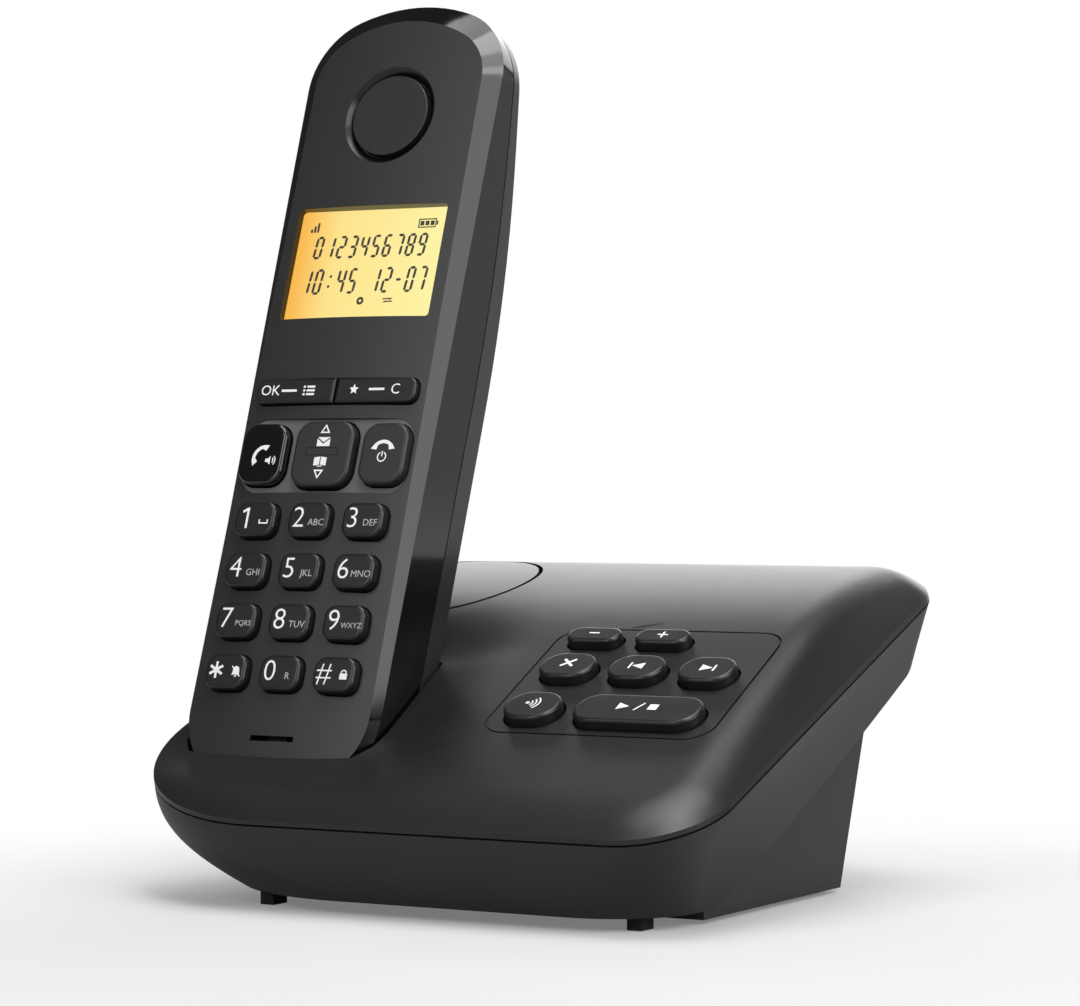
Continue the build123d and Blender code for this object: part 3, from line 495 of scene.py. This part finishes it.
bellMark = [arcPoints(0, 0.25, 0.72, 0, 180) + [(-0.8, -0.55), (-1.0, -0.8), (1.0, -0.8), (0.8, -0.55)],
            arcPoints(0, -0.95, 0.3, 180, 360)]
slashMark = turned([bar(0, 0, 3.0, 0.24)], -45)
receiverMark = [receiver(1.2)]
liftedReceiverMark = turned(receiverMark, 52)
lockMark = [bar(0, -0.45, 1.7, 1.2), arcBand(0, 0.22, 0.42, 0.68, 0, 180)]
asteriskMark = [spokes((60 * arm + angle, reach) for arm in range(6)
                       for angle, reach in ((-9, 1.7), (9, 1.7), (30, 0.55)))]
oneMark = [[(0.1, -2.15), (0.62, -2.15), (0.62, 2.15), (0.2, 2.15), (-0.95, 1.45), (-0.75, 1.0), (0.1, 1.45)]]
starMark = [spokes((72 * arm + angle, reach) for arm in range(5) for angle, reach in ((0, 1.15), (36, 0.5)))]
hollowUp = [triangle(0, 0, 1.15, 1.9), triangle(0, 0.3, 0.62, 1.05)]
hollowDown = turned(hollowUp, 180)
plusMark = [[(-1.1, -0.2), (-0.2, -0.2), (-0.2, -1.1), (0.2, -1.1), (0.2, -0.2), (1.1, -0.2), (1.1, 0.2), (0.2, 0.2),
             (0.2, 1.1), (-0.2, 1.1), (-0.2, 0.2), (-1.1, 0.2)]]
minusMark = [bar(0, 0, 2.2, 0.42)]
backMark = [bar(-1.35, 0, 0.4, 2.2), [(1.5, -1.1), (1.5, 1.1), (-1.0, 0)]]
forwardMark = [bar(1.35, 0, 0.4, 2.2), [(-1.5, -1.1), (-1.5, 1.1), (1.0, 0)]]
waveReaches = (0.85, 1.6, 2.35)
wavesMark = [disc(-1.5, 0, 0.4)] + [arcBand(-1.5, 0, reach, reach + 0.3, -48, 48) for reach in waveReaches]
playMark = [[(-1.2, -1.2), (-1.2, 1.2), (1.2, 0)]]
stopMark = [bar(0, 0, 1.9, 1.9)]
playSlashMark = turned([bar(0, 0, 3.0, 0.34)], 62)
ringMark = [disc(0, 0, 2.0), disc(0, 0, 1.6)]
lampStrokeMark = [bar(0, 0, 0.45, 1.7)]
slotMark = [bar(0, 0, 7.6, 1.7), bar(0, 0, 7.2, 1.3)]
wedgeMark = [[(-3.1, -1.1), (-2.4, -1.4), (3.1, 1.1), (2.8, 1.2)]]

# number keys: a large figure at the left, small letters or a mark at the right
keypad = {"columns": 3, "rows": 4, "columnPitch": 12.6, "rowPitch": 10.5, "middle": 38.3, "top": 1.8, "digit": 6.1,
          "letters": 1.95, "fourLetters": 1.6, "digitShift": -2.1, "digitLift": 0.15, "letterShift": 2.05,
          "letterDrop": -0.7, "thin": -0.06}
drawnFigures = {"star": asteriskMark, "1": oneMark}
keyLetters = {"1": "", "2": "ABC", "3": "DEF", "4": "GHI", "5": "JKL", "6": "MNO", "7": "PQRS", "8": "TUV",
              "9": "WXYZ", "star": "", "0": "R", "hash": ""}
keyMarks = {
    "key_1_space": {"outline": spaceMark, "on": "key_1", "at": (-10.4, 53.4)},
    "key_star_bell": {"outline": bellMark, "on": "key_star", "at": (-10.0, 22.6)},
    "key_star_slash": {"outline": slashMark, "on": "key_star", "at": (-10.0, 22.5), "lift": printFilm},
    "key_hash_lock": {"outline": lockMark, "on": "key_hash", "at": (15.0, 22.6)},
}
keyLevel = keypad["top"] + printFilm
for index, node in enumerate(numberKeys):
    label = node.removeprefix("key_")
    row, column = divmod(index, keypad["columns"])
    x = (column - (keypad["columns"] - 1) / 2) * keypad["columnPitch"]
    s = keypad["middle"] + ((keypad["rows"] - 1) / 2 - row) * keypad["rowPitch"]
    spot = (x + keypad["digitShift"], s + keypad["digitLift"], keyLevel)
    if label in drawnFigures:
        shapePrint(node + "_figure", drawnFigures[label], handsetFrame, spot, node, whiteInk)
    else:
        figure = "#" if label == "hash" else label
        textPrint(node + "_figure", figure, keypad["digit"], handsetFrame, spot, node, whiteInk, keypad["thin"])
    spot = (x + keypad["letterShift"], s + keypad["letterDrop"], keyLevel)
    letters = keyLetters[label]
    if letters:
        size = keypad["fourLetters" if len(letters) == 4 else "letters"]
        textPrint(node + "_letters", letters, size, handsetFrame, spot, node, greyInk)
printMarks(keyMarks, handsetFrame, keyLevel, whiteInk)
print("number keys printed")

# talk, navigation and end keys
controlTop = 1.3
controlMarks = {
    "talk_receiver": {"outline": liftedReceiverMark, "on": "talk_key", "at": (-15.2, 68.2)},
    "talk_speaker": {"outline": speakerMark, "on": "talk_key", "at": (-12.1, 66.5)},
    "navigation_up": {"outline": hollowUp, "on": "navigation_key", "at": (0, 72.2)},
    "navigation_envelope": {"outline": envelopeMark, "on": "navigation_key", "at": (0, 70.4)},
    # the engraved outline on the rocker is drawn as a near-black mark: painted shade of its groove
    "navigation_slot": {"outline": slotMark, "on": "navigation_key", "at": (0, 68.4), "ink": darkPrintAndGrooveShade},
    "navigation_book": {"outline": bookMark, "on": "navigation_key", "at": (0, 66.3)},
    "navigation_down": {"outline": hollowDown, "on": "navigation_key", "at": (0, 64.5)},
    "end_receiver": {"outline": receiverMark, "on": "end_key", "at": (14.15, 70.0)},
    "end_power": {"outline": powerMark, "on": "end_key", "at": (14.2, 67.2)},
}
printMarks(controlMarks, handsetFrame, controlTop + printFilm, whiteInk)

# soft keys
softTop, softLetters = 0.8, 3.1
softLineMark = [bar(0, 0, 3.6, 0.5)]
softMarks = {
    "soft_ok": {"words": "OK", "size": softLetters, "on": "left_soft_key", "at": (-15.4, 81.5)},
    "soft_left_line": {"outline": softLineMark, "on": "left_soft_key", "at": (-10.9, 81.5)},
    "soft_list": {"outline": listMark, "on": "left_soft_key", "at": (-6.1, 81.5)},
    "soft_star": {"outline": starMark, "on": "right_soft_key", "at": (4.5, 81.6)},
    "soft_right_line": {"outline": softLineMark, "on": "right_soft_key", "at": (9.8, 81.6)},
    "soft_clear": {"words": "C", "size": softLetters, "on": "right_soft_key", "at": (14.2, 81.5)},
}
printMarks(softMarks, handsetFrame, softTop + printFilm, whiteInk)
print("control and soft keys printed")

# answering keys on the base, in three rows, and the marks on the shell round them
answerTop, highRow, midRow, lowRow = 2.2, 14.4, 2.4, -12.5
answerMarks = {
    "volume_down_mark": {"outline": minusMark, "on": "volume_down_key", "at": (-14.8, highRow)},
    "volume_up_mark": {"outline": plusMark, "on": "volume_up_key", "at": (0.1, highRow)},
    "delete_mark": {"words": "×", "size": 7.0, "on": "delete_key", "at": (-14.8, midRow)},
    "back_mark": {"outline": backMark, "on": "back_key", "at": (0.1, midRow)},
    "forward_mark": {"outline": forwardMark, "on": "forward_key", "at": (15.2, midRow)},
    "paging_mark": {"outline": wavesMark, "on": "paging_key", "at": (-14.5, lowRow)},
    "play_mark": {"outline": playMark, "on": "play_stop_key", "at": (4.4, lowRow)},
    "play_stop_slash": {"outline": playSlashMark, "on": "play_stop_key", "at": (7.7, lowRow)},
    "stop_mark": {"outline": stopMark, "on": "play_stop_key", "at": (10.6, lowRow)},
}
shellMarks = {
    "volume_wedge": {"outline": wedgeMark, "on": "base", "at": (-7.0, 21.9), "lift": -0.04},
    "lamp_ring": {"outline": ringMark, "on": "base", "at": (8.6, -24.4), "lift": 0.02},
    "lamp_stroke": {"outline": lampStrokeMark, "on": "base", "at": (8.6, -24.4), "lift": 0.02},
}
printMarks(answerMarks, panelFrame, answerTop + printFilm, whiteInk)
printMarks(shellMarks, panelFrame, 0, darkPrintAndGrooveShade)
print("answering keys printed")

# display: leaning seven-segment figures and small status marks in front of a lit film, just inside the window's back
lcd = {"film": (37.0, 25.8), "filmMiddle": 109.6, "filmLevel": -3.16, "level": -3.11, "across": -0.6, "slant": 0.1,
       "stroke": 0.58, "gap": 0.06, "dot": 0.32, "dotRise": 1.1}
lcdRows = {
    "display_first_row": {"figures": "0123456789", "along": 114.0, "cell": 2.75, "width": 2.0, "height": 5.0},
    "display_second_row": {"figures": "10:45 12-07", "along": 106.5, "cell": 2.75, "width": 2.0, "height": 5.6},
}
segmentsOf = {"0": "abcdef", "1": "bc", "2": "abdeg", "3": "abcdg", "4": "bcfg", "5": "acdfg", "6": "acdefg",
              "7": "abc", "8": "abcdefg", "9": "abcdfg", "-": "g", " ": ""}


# one segment with mitred ends, lying level or upright
def segment(x, y, length, upright):
    half, nib = length / 2, lcd["stroke"] / 2
    outline = [(-half, 0), (nib - half, -nib), (half - nib, -nib), (half, 0), (half - nib, nib), (nib - half, nib)]
    return [(x - v, y + u) if upright else (x + u, y + v) for u, v in outline]


def segmentBars(letters, width, height):
    side, top = (width - lcd["stroke"]) / 2, (height - lcd["stroke"]) / 2
    level, rise = 2 * (side - lcd["gap"]), top - 2 * lcd["gap"]
    bars = {"a": segment(0, top, level, False), "g": segment(0, 0, level, False), "d": segment(0, -top, level, False),
            "b": segment(side, top / 2, rise, True), "c": segment(side, -top / 2, rise, True),
            "f": segment(-side, top / 2, rise, True), "e": segment(-side, -top / 2, rise, True)}
    return [bars[letter] for letter in letters]


filmSpot = (0, lcd["filmMiddle"], lcd["filmLevel"])
shapePrint("display_film", [bar(0, 0, *lcd["film"])], handsetFrame, filmSpot, "handset", amberGlow)
colonDots = [disc(0, lcd["dotRise"], lcd["dot"]), disc(0, -lcd["dotRise"], lcd["dot"])]
for name, row in lcdRows.items():
    outlines = []
    start = -(len(row["figures"]) - 1) / 2 * row["cell"]
    for step, figure in enumerate(row["figures"]):
        x = start + step * row["cell"]
        shapes = colonDots if figure == ":" else segmentBars(segmentsOf[figure], row["width"], row["height"])
        outlines += [[(px + x + py * lcd["slant"], py) for px, py in shape] for shape in shapes]
    shapePrint(name, outlines, handsetFrame, (lcd["across"], row["along"], lcd["level"]), "handset", liquidCrystal)
dotMark = [disc(0, 0, 0.85), disc(0, 0, 0.3)]
signalMark = [bar(-0.9 + 0.75 * step, 0.35 * step - 0.6, 0.5, 0.7 + 0.7 * step) for step in range(3)]
batteryMark = [bar(-0.1, 0, 4.2, 2.0), bar(-0.1, 0, 3.7, 1.5), bar(2.25, 0, 0.35, 0.9)]
batteryMark += [bar(-1.3 + 1.2 * step, 0, 0.9, 1.0) for step in range(3)]
arrowsMark = [[(-1.2, 0.15), (0.5, 0.15), (0.5, -0.1), (1.2, 0.45), (0.2, 0.45), (-1.2, 0.4)],
              [(1.2, -0.15), (-0.5, -0.15), (-0.5, -0.1), (-1.2, -0.5), (-0.2, -0.45), (1.2, -0.4)]]
statusMarks = {
    "display_signal": {"outline": signalMark, "on": "handset", "at": (-14.6, 118.4)},
    "display_battery": {"outline": batteryMark, "on": "handset", "at": (12.2, 118.6)},
    "display_dot": {"outline": dotMark, "on": "handset", "at": (-0.6, 102.1)},
    "display_arrows": {"outline": arrowsMark, "on": "handset", "at": (5.9, 102.1)},
}
printMarks(statusMarks, handsetFrame, lcd["level"], liquidCrystal)
print("display drawn")

# floor: white paper sweep, lit and shaded near the object and burnt out to white further away
floorLook = {"size": 6.0, "seen": "#bcbcbc", "grain": "#b9b9b9", "bounce": "#8c8c8c", "fibreMm": 40, "fill": 0.18,
             "near": 0.10, "far": 0.26, "mirrored": 0.3, "middle": (0.07, -0.05, 0)}
bpy.ops.mesh.primitive_plane_add(size=floorLook["size"], location=(0, 0, 0))
floor = bpy.context.object
floor.name = "studio_floor"
material, tree, output, place = newFinish("whitePaperSweep")
path = addNode(tree, "ShaderNodeLightPath")
fibre = addNode(tree, "ShaderNodeTexNoise", {"Scale": 1 / (floorLook["fibreMm"] * mm)}, {"Vector": (place, "Object")})
shade = addNode(tree, "ShaderNodeMix", {"data_type": "RGBA", mixA: linear(floorLook["grain"]),
                mixB: linear(floorLook["seen"])}, {0: (fibre, "Fac")})
paper = addNode(tree, "ShaderNodeBsdfDiffuse", None, {"Color": (shade, mixOut)})
fill = addNode(tree, "ShaderNodeEmission", {"Strength": floorLook["fill"]})
lit = addNode(tree, "ShaderNodeAddShader", None, {0: (paper, 0), 1: (fill, 0)})
away = addNode(tree, "ShaderNodeVectorMath", {"operation": "DISTANCE", 1: floorLook["middle"]},
               {0: (place, "Object")})
fade = addNode(tree, "ShaderNodeMapRange", {"interpolation_type": "SMOOTHSTEP", "From Min": floorLook["near"],
               "From Max": floorLook["far"]}, {"Value": (away, "Value")})
burnt = addNode(tree, "ShaderNodeEmission", {"Strength": 1.0})
sweep = addNode(tree, "ShaderNodeMixShader", None, {0: (fade, 0), 1: (lit, 0), 2: (burnt, 0)})
bounce = addNode(tree, "ShaderNodeBsdfDiffuse", {"Color": linear(floorLook["bounce"])})
direct = addNode(tree, "ShaderNodeMath", {"operation": "MULTIPLY_ADD", 1: floorLook["mirrored"]},
                 {0: (path, "Is Glossy Ray"), 2: (path, "Is Camera Ray")})
surface = addNode(tree, "ShaderNodeMixShader", None, {0: (direct, 0), 1: (bounce, 0), 2: (sweep, 0)})
tree.links.new(surface.outputs[0], output.inputs["Surface"])
floor.data.materials.append(material)

# studio air: white where the camera sees it, dim as a light, dimmer still as a reflection
airLook = {"colour": "#ffffff", "light": 0.18, "mirrored": 0.05}
world = bpy.data.worlds.new("studioAir")
scene.world = world
world.use_nodes = True
tree = world.node_tree
tree.nodes.clear()
path = addNode(tree, "ShaderNodeLightPath")
direct = addNode(tree, "ShaderNodeMath", {"operation": "MAXIMUM"},
                 {0: (path, "Is Camera Ray"), 1: (path, "Is Transmission Ray")})
dim = addNode(tree, "ShaderNodeMath", {"operation": "MULTIPLY_ADD", 1: airLook["mirrored"] - airLook["light"],
              2: airLook["light"]}, {0: (path, "Is Glossy Ray")})
air = addNode(tree, "ShaderNodeBackground", {"Color": linear(airLook["colour"])}, {"Strength": (dim, 0)})
white = addNode(tree, "ShaderNodeBackground", {"Color": linear(airLook["colour"]), "Strength": 1.0})
blend = addNode(tree, "ShaderNodeMixShader", None, {0: (direct, 0), 1: (air, 0), 2: (white, 0)})
addNode(tree, "ShaderNodeOutputWorld", None, {0: (blend, 0)})

# softboxes: place, point aimed at, direction in which the second size runs
lamps = {
    "topSoftbox": {"at": (0.05, 0.05, 1.2), "aim": (0, 0, 0), "along": (0, 1, 0), "size": (0.8, 0.8), "watts": 7.0},
    "upperStrip": {"at": (0.30, -0.31, 1.05), "aim": (-0.038, 0.015, 0.17), "along": (-0.635, 0.613, 0.469),
                   "size": (0.3, 0.8), "watts": 3.5},
    "frontSoftbox": {"at": (-0.22, -0.95, 0.64), "aim": (-0.03, 0, 0.09), "along": (0, 0, 1), "size": (0.6, 0.6),
                     "watts": 3.5},
    "rightStrip": {"at": (0.68, -0.22, 0.44), "aim": (-0.02, -0.01, 0.11), "along": (0.40, 0.82, -0.41),
                   "size": (0.6, 0.9), "watts": 5.0},
    "sidePanel": {"at": (0.223, 0.40, 0.14), "aim": (-0.02, 0.01, 0.12), "along": (0, 0, 1), "size": (0.16, 0.4),
                  "watts": 0.1},
    "backPanel": {"at": (-0.09, 0.33, 0.19), "aim": (0, 0, 0.08), "along": (0, 0, 1), "size": (0.38, 0.26),
                  "watts": 0.8},
}
for name, lamp in lamps.items():
    bpy.ops.object.light_add(type="AREA", location=lamp["at"])
    light = bpy.context.object
    light.name = name
    light.data.shape = "RECTANGLE"
    light.data.size, light.data.size_y = lamp["size"]
    light.data.energy = lamp["watts"]
    light.visible_camera = False
    back = (Vector(lamp["at"]) - Vector(lamp["aim"])).normalized()
    across = Vector(lamp["along"]).cross(back).normalized()
    light.rotation_euler = Matrix((across, back.cross(across), back)).transposed().to_euler()

# camera at the photo's place
cameraLook = {"at": (0.3448, -0.6007, 0.0813), "down": 0.428, "azimuth": 29.558, "lens": 117.72, "sensor": 36,
              "nearest": 0.01}
bpy.ops.object.camera_add(location=cameraLook["at"])
camera = bpy.context.object
camera.rotation_euler = (math.radians(90 - cameraLook["down"]), 0, math.radians(cameraLook["azimuth"]))
camera.data.sensor_width = cameraLook["sensor"]
camera.data.sensor_fit = "HORIZONTAL"
camera.data.lens = cameraLook["lens"]
camera.data.clip_start = cameraLook["nearest"]
scene.camera = camera
scene.view_settings.view_transform = "Standard"
print("light and camera set")
